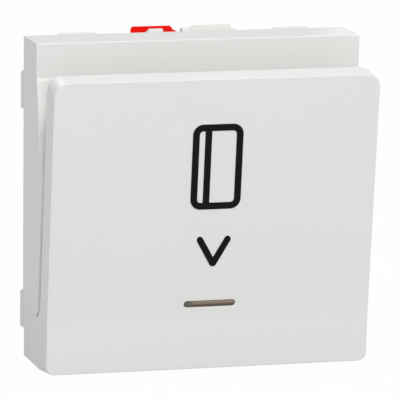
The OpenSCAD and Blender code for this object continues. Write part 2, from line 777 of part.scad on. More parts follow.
// one terminal bar above the centre, at x
module terminal_bar(x) {
  box([x - bar_w / 2, bar_front, bar_z], [x + bar_w / 2, bar_end, bar_z + bar_t]);
  box([x - bar_wide / 2, bar_front + bar_neck + inner_gap, bar_z], [x + bar_wide / 2, bar_end, bar_z + bar_t]);
}

module terminal_line() {
  color(copper) difference() {
    union() {
      terminal_bar(line_x);
      box([line_x - bar_w / 2, bar_front, strap_z], [line_x + bar_w / 2, bar_front + bar_t, bar_z + bar_t]);
      box([line_x - bar_w / 2, bar_front, strap_z], [ear_out, arm_y + hub_r, strap_z + bar_t]);
      both_sides() {
        box([ear_in, arm_y - hub_r, pivot_z], [ear_out, arm_y + hub_r, strap_z + eps]);
        translate([ear_in, arm_y, pivot_z]) rotate([0, 90, 0]) cylinder(r = hub_r, h = bar_t);
      }
    }
    translate([-ear_out - over, arm_y, pivot_z]) rotate([0, 90, 0])
      cylinder(r = pin_r + run_gap, h = 2 * (ear_out + over));
  }
}

module terminal_neutral() {
  color(copper) union() {
    terminal_bar(neutral_x);
    box(
      [neutral_x - bar_w / 2, bar_front, lamp_pin_z - 2 * lamp_pin_r],
      [neutral_x + bar_w / 2, bar_front + bar_t, bar_z + bar_t]);
  }
}

// places a piece where the contact arm stands at the end of its swing
module swung() {
  translate(pivot) rotate([arm_swing, 0, 0]) translate(-pivot) children();
}

module terminal_open() {
  tab_y = arm_rear + 2 * contact_t + contact_gap;
  tab_x = contact_r + contact_land;
  color(copper) union() {
    mirror([0, 0, 1]) terminal_bar(open_x);
    box([open_x, bar_strap_y, -bar_z - bar_t], [tab_x, bar_end, -bar_z]);
    intersection() {
      swung() box(
        [-tab_x, tab_y, contact_z - 4 * contact_r],
        [tab_x, tab_y + bar_t, contact_z + contact_r + fit_gap]);
      box([-over * 9, 0, -bar_z - bar_t], [over * 9, housing_d, 0]);
    }
  }
}

module terminal_closed() {
  tab_y = arm_front - 2 * contact_t - contact_gap;
  tab_x = contact_r + contact_land;
  color(copper) union() {
    mirror([0, 0, 1]) terminal_bar(closed_x);
    box([-tab_x, bar_front, -bar_z - bar_t], [chamber_x, tab_y, -bar_z]);
    box([chamber_x - eps, bar_front, -bar_z - bar_t], [closed_x, button_y - fit_gap, -bar_z]);
    box([-tab_x, tab_y - bar_t, -bar_z - bar_t], [tab_x, tab_y, contact_z + contact_r + fit_gap]);
  }
}

// one clamp spring above the centre, at x: a flat leg, a bend and a rising leg
module clamp_spring(x) {
  c = [leaf_y, shelf_top + fit_gap + leaf_t / 2 + leaf_r];
  turn = 90 - leaf_angle;
  start = c + leaf_r * [cos(turn), sin(turn)];
  rise = (bar_z - leaf_t / 2 - fit_gap - start[1]) / sin(leaf_angle);
  along = [-cos(leaf_angle), sin(leaf_angle)];
  across = [cos(turn), sin(turn)];
  outer = concat([c + [-leaf_foot, -leaf_r - leaf_t / 2]], arc(c, leaf_r + leaf_t / 2, -90, turn, 14),
    [start + rise * along + leaf_t / 2 * across]);
  inner = concat([start + rise * along - leaf_t / 2 * across], arc(c, leaf_r - leaf_t / 2, turn, -90, 14),
    [c + [-leaf_foot, leaf_t / 2 - leaf_r]]);
  color(steel) translate([x, 0, 0]) sideways(leaf_w) polygon(concat(outer, inner));
}

module clamp_spring_line() {
  clamp_spring(line_x);
}

module clamp_spring_neutral() {
  clamp_spring(neutral_x);
}

module clamp_spring_open() {
  mirror([0, 0, 1]) clamp_spring(open_x);
}

module clamp_spring_closed() {
  mirror([0, 0, 1]) clamp_spring(closed_x);
}

// Release buttons

// one release button above the centre, at x
module release_button(x) {
  top = body_top + button_rise;
  low = top - button_h;
  w = button_w / 2;
  stem = w - run_gap - fit_gap;
  fork = bar_z + bar_t + button_travel + 2 * fit_gap;
  leg_in = stem - button_leg;
  y0 = button_y + button_relief;
  y1 = button_y + button_d - button_relief;
  step = top - button_step_drop;
  side = w + button_step;
  translate([x, 0, 0]) {
    rearward(button_y, button_y + button_d) polygon([
      [-w, low], [-w, top - button_chamfer], [button_chamfer - w, top],
      [w - button_chamfer, top], [w, top - button_chamfer], [w, step],
      [side - 2 * button_chamfer, step], [side, step - 1.3 * button_chamfer], [side, low]]);
    box([-stem, y0, fork], [stem, y1, low + eps]);
    both_sides() {
      box([leg_in, y0, bar_z + run_gap], [stem, y1, fork + eps]);
      box([leg_in, y0, fork], [chamber_half - 2 * fit_gap, y1, room_z - fit_gap]);
    }
  }
}

module release_button_line() {
  color(red) release_button(line_x);
}

module release_button_neutral() {
  color(white) release_button(neutral_x);
}

module release_button_open() {
  color(white) mirror([0, 0, 1]) release_button(open_x);
}

module release_button_closed() {
  color(white) mirror([0, 0, 1]) release_button(closed_x);
}

// Contacts

module contact_arm() {
  color(copper) difference() {
    union() {
      box([-arm_w / 2, arm_front, contact_z - contact_r - contact_land], [arm_w / 2, arm_rear, pivot_z]);
      translate([-arm_w / 2, arm_y, pivot_z]) rotate([0, 90, 0]) cylinder(r = hub_r, h = arm_w);
    }
    translate([-arm_w, arm_y, pivot_z]) rotate([0, 90, 0]) cylinder(r = pin_r + run_gap, h = 2 * arm_w);
    translate([0, arm_front - over, contact_z]) rotate([-90, 0, 0])
      cylinder(r = rivet_r + run_gap, h = arm_t + 2 * over);
  }
}

module arm_contact() {
  color(silver) translate([0, 0, contact_z]) rotate([-90, 0, 0]) union() {
    translate([0, 0, arm_front - contact_t]) cylinder(r = contact_r, h = contact_t);
    translate([0, 0, arm_front - eps]) cylinder(r = rivet_r, h = arm_t + 2 * eps);
    translate([0, 0, arm_rear]) cylinder(r = contact_r, h = contact_t);
  }
}

module pivot_pin() {
  reach = ear_out + inner_gap;
  color(steel) translate([-reach, arm_y, pivot_z]) rotate([0, 90, 0]) cylinder(r = pin_r, h = 2 * reach);
}

module fixed_contact_open() {
  color(silver) swung() translate([0, arm_rear + contact_t + contact_gap, contact_z]) rotate([-90, 0, 0])
    cylinder(r = contact_r, h = contact_t);
}

module fixed_contact_closed() {
  color(silver) translate([0, arm_front - 2 * contact_t - contact_gap, contact_z]) rotate([-90, 0, 0])
    cylinder(r = contact_r, h = contact_t);
}

module contact_spring() {
  y0 = arm_rear + wire_r + fit_gap;
  len = contact_spring_l - 2 * (wire_r + fit_gap);
  least = coil_gap(contact_spring_r, wire_r, len, contact_spring_turns);
  echo(str("contact spring, least gap between turns: ", least));
  color(steel) translate([0, y0, contact_spring_z]) coil(contact_spring_r, wire_r, len, contact_spring_turns);
}

// Indicator electronics

module indicator_board() {
  color([0.15, 0.4, 0.25]) union() {
    box([board_left, board_face, board_high - board_top_h], [board_right, board_y, board_high]);
    box([board_right - board_leg_w, board_face, board_low], [board_right, board_y, board_high]);
  }
}

module indicator_lamp() {
  color([0.95, 0.9, 0.7]) box(
    [lamp_x - lamp_w / 2, board_face - lamp_d, lamp_low],
    [lamp_x + lamp_w / 2, board_face, lamp_low + lamp_h]);
}

module lamp_resistor() {
  color([0.6, 0.65, 0.75]) translate([lamp_x, board_face - resistor_r - run_gap, 0])
    cylinder(r = resistor_r, h = resistor_l);
}

module lamp_contact_pins() {
  color([0.8, 0.7, 0.4]) for (x = [line_x, neutral_x]) translate([x, board_y, lamp_pin_z]) rotate([-90, 0, 0])
    cylinder(r = lamp_pin_r, h = bar_front - board_y);
}

card_cover();
cover_liner();
indicator_lens();
light_guide();
card_symbol();
front_body();
card_plunger();
plunger_spring();
mounting_flange();
rear_housing();
rear_cover();
mechanism_plate();
terminal_line();
terminal_neutral();
terminal_open();
terminal_closed();
clamp_spring_line();
clamp_spring_neutral();
clamp_spring_open();
clamp_spring_closed();
release_button_line();
release_button_neutral();
release_button_open();
release_button_closed();
contact_arm();
arm_contact();
pivot_pin();
fixed_contact_open();
fixed_contact_closed();
contact_spring();
indicator_board();
indicator_lamp();
lamp_resistor();
lamp_contact_pins();
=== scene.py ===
"""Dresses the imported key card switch: rounded mouldings, springs, finishes, light and a camera."""

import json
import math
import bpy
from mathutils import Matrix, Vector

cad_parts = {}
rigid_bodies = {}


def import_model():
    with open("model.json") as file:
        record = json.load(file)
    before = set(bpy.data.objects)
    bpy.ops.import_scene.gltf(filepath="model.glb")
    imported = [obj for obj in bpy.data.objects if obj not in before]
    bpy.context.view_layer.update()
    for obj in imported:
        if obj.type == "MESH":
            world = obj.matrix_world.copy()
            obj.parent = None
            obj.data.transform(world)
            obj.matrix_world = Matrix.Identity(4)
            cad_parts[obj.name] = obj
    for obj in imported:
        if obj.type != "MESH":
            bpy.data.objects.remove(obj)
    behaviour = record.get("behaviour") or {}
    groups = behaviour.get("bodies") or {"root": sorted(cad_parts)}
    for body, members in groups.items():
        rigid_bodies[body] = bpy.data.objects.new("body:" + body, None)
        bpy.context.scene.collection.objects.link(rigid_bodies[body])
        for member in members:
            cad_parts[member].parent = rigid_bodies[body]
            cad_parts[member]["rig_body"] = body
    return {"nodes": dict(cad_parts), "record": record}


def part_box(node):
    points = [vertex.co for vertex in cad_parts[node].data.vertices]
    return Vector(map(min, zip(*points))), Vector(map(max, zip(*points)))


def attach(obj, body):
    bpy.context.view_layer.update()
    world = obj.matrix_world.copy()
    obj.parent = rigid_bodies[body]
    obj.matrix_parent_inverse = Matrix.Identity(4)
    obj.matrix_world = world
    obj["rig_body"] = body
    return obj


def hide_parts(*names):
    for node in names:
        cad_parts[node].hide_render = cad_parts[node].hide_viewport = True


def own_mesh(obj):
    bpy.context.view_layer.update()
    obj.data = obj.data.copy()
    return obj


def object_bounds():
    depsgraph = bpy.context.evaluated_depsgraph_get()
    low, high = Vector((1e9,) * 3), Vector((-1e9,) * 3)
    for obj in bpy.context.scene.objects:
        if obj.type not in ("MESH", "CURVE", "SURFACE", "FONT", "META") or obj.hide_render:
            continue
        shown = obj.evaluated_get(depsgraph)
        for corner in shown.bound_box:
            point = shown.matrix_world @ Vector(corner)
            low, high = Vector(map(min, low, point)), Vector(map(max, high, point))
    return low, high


bl_info = {
    "name": "Key card switch",
    "version": (1, 0, 0),
    "blender": (4, 5, 0),
    "location": "3D View > Sidebar > Card switch",
    "description": "Builds the visible pieces of a key card switch on its packed frame",
    "category": "Object",
}

import bmesh
import bpy
from mathutils import Matrix, Vector

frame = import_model()
CAD_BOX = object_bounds()
MM = 0.001
TERMINALS = ("line", "neutral", "open", "closed")
MERGE = 0.001 * MM  # points closer than this are one point
ON = 0.02  # what lies this close to a plane, in millimetres, lies on it
SHARP = math.radians(40)  # apart from bends, an edge that turns less than this isn't rounded


def srgb(code):
    """An sRGB hex colour as linear red, green, blue and alpha."""
    parts = [int(code[i : i + 2], 16) / 255 for i in (1, 3, 5)]
    return (*(c / 12.92 if c <= 0.04045 else ((c + 0.055) / 1.055) ** 2.4 for c in parts), 1.0)


def tinted(tone, share):
    """A colour made darker or lighter by a share."""
    return [min(1.0, c * share) for c in tone[:3]] + [1.0]


# Sizes and colours that a user would change


def length(name, description, mm):
    return bpy.props.FloatProperty(
        name=name, description=description, default=mm * MM, unit="LENGTH", precision=5
    )


def colour(name, description, code):
    return bpy.props.FloatVectorProperty(
        name=name,
        description=description,
        default=srgb(code),
        size=4,
        min=0,
        max=1,
        subtype="COLOR",
    )


def power(name, description, watts):
    return bpy.props.FloatProperty(
        name=name, description=description, default=watts, min=0, unit="POWER"
    )


def angle(name, description, degrees):
    return bpy.props.FloatProperty(
        name=name, description=description, default=math.radians(degrees), subtype="ANGLE"
    )


class CardSwitchSizes(bpy.types.PropertyGroup):
    """Roundings, small forms of the mouldings and sizes of the springs."""

    cover_edge: length("Cover edge", "Rounding along the front edge of the card cover", 0.11)
    cover_bend: length("Cover bend", "Rounding of the bend across the card cover", 0.8)
    cover_rear: length("Cover rear edge", "Rounding along the leaning plate's rear edges", 0.22)
    body_edge: length("Body edge", "Rounding along the top front edge of the front body", 0.16)
    body_side: length("Body side edge", "Rounding along the sides of the front body", 0.05)
    body_ledge: length("Body ledge", "How far the ledge under the band stands out", 0.23)
    seam: length("Seam", "Rounding beside the seam of cover and body", 0.09)
    rear_edge: length("Rear edge", "Rounding of the mouldings behind the flange", 0.14)
    entry_funnel: length("Wire entry funnel", "Lead-in at each wire entry", 0.45)
    button_edge: length("Button edge", "Rounding of the release buttons", 0.11)
    button_slope: length("Button slope", "Drop of the buttons' heads towards the rear", 0.45)
    metal_edge: length("Metal edge", "Rounding left by stamping and turning", 0.08)
    spring_wire: length("Spring wire", "Radius of the wire of both coil springs", 0.2)
    leaf: length("Leaf thickness", "Thickness of the clamp springs", 0.4)


class CardSwitchColours(bpy.types.PropertyGroup):
    """Colours of the finishes."""

    white: colour("White", "Cover and front body", "#E0E0DE")
    pale: colour("Pale", "Mouldings behind the front", "#E2E2DF")
    # cap: the body's white painted lighter, to lift the shade that falls on the release buttons
    # behind the body's top edge
    cap: colour("Cap", "White release buttons", "#EFEFED")
    red: colour("Red", "Release button of the line terminal", "#EE1910")
    smoke: colour("Smoke", "Indicator lens", "#9C8A76")
    ink: colour("Ink", "Printed symbol", "#151315")
    bronze: colour("Bronze", "Terminals and contact arm", "#C79A6B")
    silver: colour("Silver", "Contacts", "#DEDCD6")
    steel: colour("Steel", "Springs and pin", "#B9BABC")
    board: colour("Board", "Indicator board", "#1F6B3C")


class CardSwitchStage(bpy.types.PropertyGroup):
    """Light and camera."""

    key: power("Key", "Power of the small lamp high in front", 0.62)
    fill: power("Fill", "Power of the small lamp high on the right", 1.29)
    front: power("Front", "Power of the small low lamp in front", 0.97)
    left: power("Left", "Power of the lamp on the left", 0.54)
    rear: power("Rear", "Power of the lamp high behind", 1.0)
    back: power("Back", "Power of the low lamp that lights the rear", 0.25)
    glint: power("Glint", "Power of the lamp behind that shows in the cover's corner", 0.055)
    spark: power("Spark", "Power of the lamp behind that shows at the top's right end", 0.02)
    surround: bpy.props.FloatProperty(
        name="Surround",
        description="Strength of the even light all round",
        default=0.398,
        min=0,
        max=1,
    )
    lens: bpy.props.FloatProperty(
        name="Lens",
        description="Focal length on a 36 mm sensor, in millimetres",
        default=385.77,
        min=10,
    )
    yaw: angle("Yaw", "Turn of the camera to the right", 15.443)
    pitch: angle("Pitch", "Tilt of the camera downwards", 10.352)
    roll: angle("Roll", "Roll of the camera", 0.632)
    place: bpy.props.FloatVectorProperty(
        name="Place",
        description="Place of the camera",
        default=(-0.15168, -0.55932, 0.10475),
        subtype="TRANSLATION",
        unit="LENGTH",
    )


# Finishes

NOISE = "ShaderNodeTexNoise"
RANGE = "ShaderNodeMapRange"
BUMP = "ShaderNodeBump"
MATH = "ShaderNodeMath"
SURFACE = "ShaderNodeBsdfPrincipled"
# A mix of two colours: input 0 is the share, 6 and 7 are the colours, and output 2 is the result
MIX, COLOURS = "ShaderNodeMix", {"data_type": "RGBA"}


def put(tree, kind, sockets=(), settings=()):
    """Adds one shader node, gives it its settings, and fills or links its sockets."""
    node = tree.nodes.new(kind)
    for key, value in dict(settings).items():
        setattr(node, key, value)
    for key, value in dict(sockets).items():
        if isinstance(value, bpy.types.NodeSocket):
            tree.links.new(value, node.inputs[key])
        else:
            node.inputs[key].default_value = value
    return node


def finish(name, recipe, *values):
    """The material of this name, which its recipe draws when it is first asked for."""
    made = bpy.data.materials.get(name)
    if made:
        return made
    made = bpy.data.materials.new(name)
    made.use_nodes = True
    tree = made.node_tree
    tree.nodes.clear()
    at = put(tree, "ShaderNodeTexCoord").outputs["Object"]
    shader = recipe(tree, at, *values)
    put(tree, "ShaderNodeOutputMaterial", {"Surface": shader.outputs[0]})
    return made


def gloss_moulding(tree, at, tone, level, gloss=(0.29, 0.36)):
    """Injection-moulded plastic from a polished mould: an even colour under a soft gloss.
    The gloss wavers a little in waves 3 mm long, and the colour drifts with the melt's flow."""
    flow = put(tree, NOISE, {"Vector": at, "Scale": 1 / (14 * MM), "Detail": 2.0})
    cloud = put(tree, NOISE, {"Vector": at, "Scale": 1 / (5 * MM), "Detail": 3.0})
    wave = put(tree, NOISE, {"Vector": at, "Scale": 1 / (3 * MM), "Detail": 0.0})
    mix = put(tree, MIX, {0: flow.outputs["Fac"], 6: tinted(tone, 0.985), 7: tuple(tone)}, COLOURS)
    rough = put(tree, RANGE, {
        "Value": cloud.outputs["Fac"],
        "From Min": 0.3,
        "From Max": 0.7,
        "To Min": gloss[0],
        "To Max": gloss[1],
    })
    bump = put(tree, BUMP, {"Strength": 0.15, "Distance": 0.01 * MM, "Height": wave.outputs["Fac"]})
    return put(tree, SURFACE, {
        "Base Color": mix.outputs[2],
        "Roughness": rough.outputs[0],
        "IOR": 1.53,
        "Specular IOR Level": level,
        "Normal": bump.outputs["Normal"],
    })


def spark_moulding(tree, at, tone):
    """Polyamide from a spark-eroded mould: one pale tone all over and a dry, fine-grained sheen.
    The real grain of 0.1 mm is too fine to show, so it is drawn at 0.25 mm."""
    flow = put(tree, NOISE, {"Vector": at, "Scale": 1 / (9 * MM), "Detail": 3.0})
    grain = put(tree, "ShaderNodeTexVoronoi", {
        "Vector": at, "Scale": 1 / (0.25 * MM)
    }, {"feature": "SMOOTH_F1"})
    mix = put(tree, MIX, {0: flow.outputs["Fac"], 6: tinted(tone, 0.95), 7: tuple(tone)}, COLOURS)
    rough = put(tree, RANGE, {"Value": grain.outputs["Distance"], "To Min": 0.36, "To Max": 0.48})
    bump = put(tree, BUMP, {
        "Strength": 0.12, "Distance": 0.02 * MM, "Height": grain.outputs["Distance"]
    })
    return put(tree, SURFACE, {
        "Base Color": mix.outputs[2],
        "Roughness": rough.outputs[0],
        "IOR": 1.53,
        "Specular IOR Level": 0.15,
        "Normal": bump.outputs["Normal"],
    })


def smoked_lens(tree, at, tone, low, high):
    """Smoked polycarbonate over the light bar, with light and shade painted in: the lit bar behind
    is painted as a lighter brown band in the window's upper half, and the rim and the lower edge are
    darkened with painted shade. The left end, past the bar, is a dull grey."""
    bar_starts, bar_full = low.x + 0.7 * MM, low.x + 1.3 * MM
    split = put(tree, "ShaderNodeSeparateXYZ", {0: at})
    across = put(tree, RANGE, {
        "Value": split.outputs["X"], "From Min": bar_starts, "From Max": bar_full
    })
    rise = put(tree, RANGE, {"Value": split.outputs["Z"], "From Min": low.z, "From Max": high.z})
    # painted light and shade: a lighter band where the lit bar shows through, painted shade at the
    # rim and lower edge
    band = put(tree, "ShaderNodeValToRGB", {"Fac": rise.outputs[0]})
    ramp = band.color_ramp
    ramp.elements[0].color = ramp.elements[1].color = tinted(tone, 0.3)
    for place, share in ((0.22, 0.34), (0.5, 0.9), (0.68, 1.15), (0.86, 0.85)):
        ramp.elements.new(place).color = tinted(tone, share)
    swirl = put(tree, NOISE, {"Vector": at, "Scale": 1 / (2.5 * MM), "Detail": 2.0})
    mix = put(tree, MIX, {
        0: across.outputs[0], 6: srgb("#625E56"), 7: band.outputs["Color"]
    }, COLOURS)
    rough = put(tree, RANGE, {"Value": swirl.outputs["Fac"], "To Min": 0.1, "To Max": 0.2})
    return put(tree, SURFACE, {
        "Base Color": mix.outputs[2],
        "Roughness": rough.outputs[0],
        "IOR": 1.58,
        "Specular IOR Level": 0.3,
        "Transmission Weight": 0.25,
    })


def frosted_bar(tree, at):
    """Moulded acrylic with an etched face: milky, with a soft gloss and fine etching."""
    etch = put(tree, NOISE, {"Vector": at, "Scale": 1 / (0.3 * MM), "Detail": 3.0})
    mix = put(tree, MIX, {0: etch.outputs["Fac"], 6: srgb("#D8DCDC"), 7: srgb("#F0F3F3")}, COLOURS)
    rough = put(tree, RANGE, {"Value": etch.outputs["Fac"], "To Min": 0.3, "To Max": 0.55})
    bump = put(tree, BUMP, {"Strength": 0.15, "Distance": 0.02 * MM, "Height": etch.outputs["Fac"]})
    return put(tree, SURFACE, {
        "Base Color": mix.outputs[2],
        "Roughness": rough.outputs[0],
        "IOR": 1.49,
        "Transmission Weight": 0.35,
        "Normal": bump.outputs["Normal"],
    })


def pad_ink(tree, at, tone):
    """Pad-printed ink: near black and a little glossy, with the slight mottle of a thin film."""
    film = put(tree, NOISE, {"Vector": at, "Scale": 1 / (0.4 * MM), "Detail": 3.0})
    mix = put(tree, MIX, {0: film.outputs["Fac"], 6: tuple(tone), 7: tinted(tone, 1.35)}, COLOURS)
    rough = put(tree, RANGE, {"Value": film.outputs["Fac"], "To Min": 0.42, "To Max": 0.6})
    bump = put(tree, BUMP, {"Strength": 0.05, "Distance": 0.01 * MM, "Height": film.outputs["Fac"]})
    return put(tree, SURFACE, {
        "Base Color": mix.outputs[2],
        "Roughness": rough.outputs[0],
        "IOR": 1.5,
        "Specular IOR Level": 0.05,
        "Normal": bump.outputs["Normal"],
    })


def worked_metal(tree, at, tone, tarnish, lines, smooth):
    """Stamped, drawn or turned metal: fine lines of the tool along one way, tarnish in patches.
    The real lines of about 0.02 mm are too fine to show, so they are drawn at 0.12 mm."""
    along = put(tree, "ShaderNodeMapping", {"Vector": at, "Scale": lines}).outputs[0]
    tool = put(tree, NOISE, {"Vector": along, "Scale": 1 / (0.12 * MM), "Detail": 2.0})
    patch = put(tree, NOISE, {"Vector": at, "Scale": 1 / (2.2 * MM), "Detail": 4.0})
    reach = put(tree, RANGE, {"Value": patch.outputs["Fac"], "From Min": 0.42, "From Max": 0.75})
    mix = put(tree, MIX, {0: reach.outputs[0], 6: tuple(tone), 7: srgb(tarnish)}, COLOURS)
    rough = put(tree, RANGE, {
        "Value": tool.outputs["Fac"], "To Min": smooth, "To Max": smooth + 0.16
    })
    bump = put(tree, BUMP, {"Strength": 0.12, "Distance": 0.01 * MM, "Height": tool.outputs["Fac"]})
    return put(tree, SURFACE, {
        "Base Color": mix.outputs[2],
        "Metallic": 1.0,
        "Roughness": rough.outputs[0],
        "Normal": bump.outputs["Normal"],
    })


def solder_mask(tree, at, tone):
    """Glass-fibre board under solder mask: deep green, with copper tracks 0.6 mm wide paler."""
    upright = put(tree, "ShaderNodeMapping", {"Vector": at, "Rotation": (math.pi / 2, 0, 0)})
    track = put(tree, "ShaderNodeTexBrick", {
        "Vector": upright.outputs[0],
        "Color1": tuple(tone),
        "Color2": tinted(tone, 0.86),
        "Mortar": srgb("#3F8A57"),
        "Scale": 1.0,
        "Mortar Size": 0.3 * MM,
        "Brick Width": 5.2 * MM,
        "Row Height": 1.7 * MM,
    }, {"offset": 0.5, "squash": 1.0})
    weave = put(tree, NOISE, {"Vector": at, "Scale": 1 / (0.5 * MM), "Detail": 2.0})
    rough = put(tree, RANGE, {"Value": weave.outputs["Fac"], "To Min": 0.25, "To Max": 0.42})
    bump = put(tree, BUMP, {"Strength": 0.2, "Distance": 0.03 * MM, "Height": track.outputs["Fac"]})
    return put(tree, SURFACE, {
        "Base Color": track.outputs["Color"],
        "Roughness": rough.outputs[0],
        "IOR": 1.55,
        "Normal": bump.outputs["Normal"],
    })


def banded_lacquer(tree, at, low, high):
    """Lacquered resistor: pale blue, with three painted bands round it along its length."""
    body = srgb("#8FB4C8")
    split = put(tree, "ShaderNodeSeparateXYZ", {0: at})
    along = put(tree, RANGE, {"Value": split.outputs["Z"], "From Min": low.z, "From Max": high.z})
    bands = put(tree, "ShaderNodeValToRGB", {"Fac": along.outputs[0]})
    ramp = bands.color_ramp
    ramp.interpolation = "CONSTANT"
    ramp.elements[0].color = ramp.elements[1].color = body
    ramp.elements[1].position = 1.0
    for place, code in ((0.22, "#5B3A22"), (0.42, "#1E1C1C"), (0.62, "#C9422C")):
        ramp.elements.new(place).color = srgb(code)
        ramp.elements.new(place + 0.1).color = body
    speck = put(tree, NOISE, {"Vector": at, "Scale": 1 / (0.5 * MM), "Detail": 2.0})
    rough = put(tree, RANGE, {"Value": speck.outputs["Fac"], "To Min": 0.3, "To Max": 0.45})
    return put(tree, SURFACE, {
        "Base Color": bands.outputs["Color"], "Roughness": rough.outputs[0], "IOR": 1.5
    })


def lamp_resin(tree, at):
    """Cast lamp resin: creamy phosphor in a clear skin, a little deeper where it is thick."""
    grain = put(tree, NOISE, {"Vector": at, "Scale": 1 / (0.6 * MM), "Detail": 3.0})
    mix = put(tree, MIX, {0: grain.outputs["Fac"], 6: srgb("#E4D48F"), 7: srgb("#F1EBD2")}, COLOURS)
    rough = put(tree, RANGE, {"Value": grain.outputs["Fac"], "To Min": 0.15, "To Max": 0.3})
    return put(tree, SURFACE, {
        "Base Color": mix.outputs[2], "Roughness": rough.outputs[0], "IOR": 1.5
    })


def finish_of(slot):
    """The finish of a material slot of the record."""
    tones = bpy.context.scene.card_switch_colours
    lens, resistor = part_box("indicator_lens"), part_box("lamp_resistor")
    along_y, along_z, round_x = (1, 0.06, 1), (1, 1, 0.1), (1, 0.05, 0.05)
    name, recipe, *values = {
        "white_plastic": ("white_moulded_abs", gloss_moulding, tones.white, 0.2, (0.1, 0.14)),
        "pale_plastic": ("pale_moulded_polyamide", spark_moulding, tones.pale),
        "red_plastic": ("red_moulded_polyamide", gloss_moulding, tones.red, 0.06),
        "smoked_lens": ("smoked_polycarbonate", smoked_lens, tones.smoke, *lens),
        "clear_plastic": ("etched_acrylic", frosted_bar),
        "black_ink": ("pad_printed_ink", pad_ink, tones.ink),
        "copper": ("stamped_bronze", worked_metal, tones.bronze, "#8C5F3C", along_y, 0.28),
        "silver": ("silver_contact_facing", worked_metal, tones.silver, "#A79F93", (1, 1, 1), 0.2),
        "steel": ("turned_steel", worked_metal, tones.steel, "#85868A", round_x, 0.22),
        "spring_steel": ("drawn_spring_steel", worked_metal, tones.steel, "#7E8086", along_z, 0.2),
        "circuit_board": ("solder_masked_board", solder_mask, tones.board),
        "lamp_plastic": ("cast_lamp_resin", lamp_resin),
        "resistor_body": ("banded_lacquer", banded_lacquer, *resistor),
        "brass": ("turned_brass", worked_metal, srgb("#D9B765"), "#9A7B3C", (1, 0.05, 1), 0.2),
    }[slot]
    return finish(name, recipe, *values)


# Shaping


def near(value, *places, by=0.05):
    """Whether a value in millimetres lies at one of these places."""
    return any(abs(value - place) < by for place in places)


def only(piece=None):
    """Leaves just this piece selected, or nothing."""
    bpy.ops.object.select_all(action="DESELECT")
    if piece:
        piece.select_set(True)
        bpy.context.view_layer.objects.active = piece


def edit(piece):
    """Opens a piece for shaping and returns its mesh."""
    only(piece)
    bpy.ops.object.mode_set(mode="EDIT")
    shape = bmesh.from_edit_mesh(piece.data)
    shape.normal_update()
    return shape


def choose(piece, test):
    """Opens a piece and selects just the faces that pass a test, which is given the face and its
    middle in millimetres."""
    shape = edit(piece)
    bpy.ops.mesh.select_all(action="DESELECT")
    for f in shape.faces:
        if test(f, f.calc_center_median() / MM):
            f.select_set(True)
    bmesh.update_edit_mesh(piece.data)


def close(piece):
    bmesh.update_edit_mesh(piece.data)
    bpy.ops.object.mode_set(mode="OBJECT")


def settle(piece):
    """Puts a new piece's place, turn and size into its mesh."""
    only(piece)
    bpy.ops.object.transform_apply(location=True, rotation=True, scale=True)


def solid_of(node, name):
    """A copy of a CAD node with its triangles merged into whole faces, ready to be shaped."""
    piece = bpy.data.objects.new(name, frame["nodes"][node].data.copy())
    bpy.context.collection.objects.link(piece)
    only(piece)
    bpy.ops.object.mode_set(mode="EDIT")
    bpy.ops.mesh.select_all(action="SELECT")
    bpy.ops.mesh.customdata_custom_splitnormals_clear()
    bpy.ops.mesh.remove_doubles(threshold=MERGE)
    bpy.ops.mesh.mark_sharp(clear=True)
    bpy.ops.mesh.dissolve_limited(angle_limit=math.radians(0.5))
    bpy.ops.object.mode_set(mode="OBJECT")
    return piece


def apply(piece, kind, **settings):
    """Adds a modifier and applies it."""
    only(piece)
    bpy.ops.object.modifier_add(type=kind)
    made = piece.modifiers[-1]
    for key, value in settings.items():
        setattr(made, key, value)
    bpy.ops.object.modifier_apply(modifier=made.name)


def even_shading(piece, degrees=32):
    only(piece)
    bpy.ops.object.shade_smooth_by_angle(angle=math.radians(degrees))
    apply(piece, "WEIGHTED_NORMAL", weight=100, keep_sharp=True)


def round_chosen(piece, widest, width_of, segments=4):
    """Rounds each edge by the width that width_of gives for its middle in millimetres and its two
    faces' normals."""
    shape = edit(piece)
    layers = shape.edges.layers.float
    weight = layers.get("bevel_weight_edge") or layers.new("bevel_weight_edge")
    for e in shape.edges:
        if len(e.link_faces) == 2:
            mid = (e.verts[0].co + e.verts[1].co) / 2 / MM
            e[weight] = width_of(mid, *(f.normal for f in e.link_faces)) / widest
    close(piece)
    apply(
        piece,
        "BEVEL",
        limit_method="WEIGHT",
        width=widest,
        segments=segments,
        use_clamp_overlap=False,
        harden_normals=False,
    )
    even_shading(piece)


def round_all(piece, width, segments=2, degrees=30):
    """Rounds every edge that turns more than an angle by one width."""
    apply(
        piece,
        "BEVEL",
        limit_method="ANGLE",
        angle_limit=math.radians(degrees),
        width=width,
        segments=segments,
        use_clamp_overlap=True,
        harden_normals=False,
    )
    even_shading(piece)


def seat(piece, node, look=None):
    """Gives a piece its finish and its body, and hides the CAD node that it stands for."""
    subparts = frame["record"]["subparts"]
    slot = next(s["material_slot"] for s in subparts if s["node"] == node)
    piece.data.materials.clear()
    piece.data.materials.append(look or finish_of(slot))
    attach(piece, frame["nodes"][node]["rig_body"])
    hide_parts(node)
    return piece


def twin(piece, first, node, name, look=None):
    """A copy of a piece, with a mesh of its own, at the place of another node; a lower one is
    turned over."""
    a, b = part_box(first)[0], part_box(node)[0]
    over = -1 if a.z * b.z < 0 else 1
    made = bpy.data.objects.new(name, piece.data.copy())
    bpy.context.collection.objects.link(made)
    made.data.transform(Matrix.Translation((b.x - a.x, 0, 0)) @ Matrix.Diagonal((1, 1, over, 1)))
    if over < 0:
        made.data.flip_normals()
    even_shading(made)
    return seat(made, node, look)


# Pieces. Places on the solids are in millimetres.


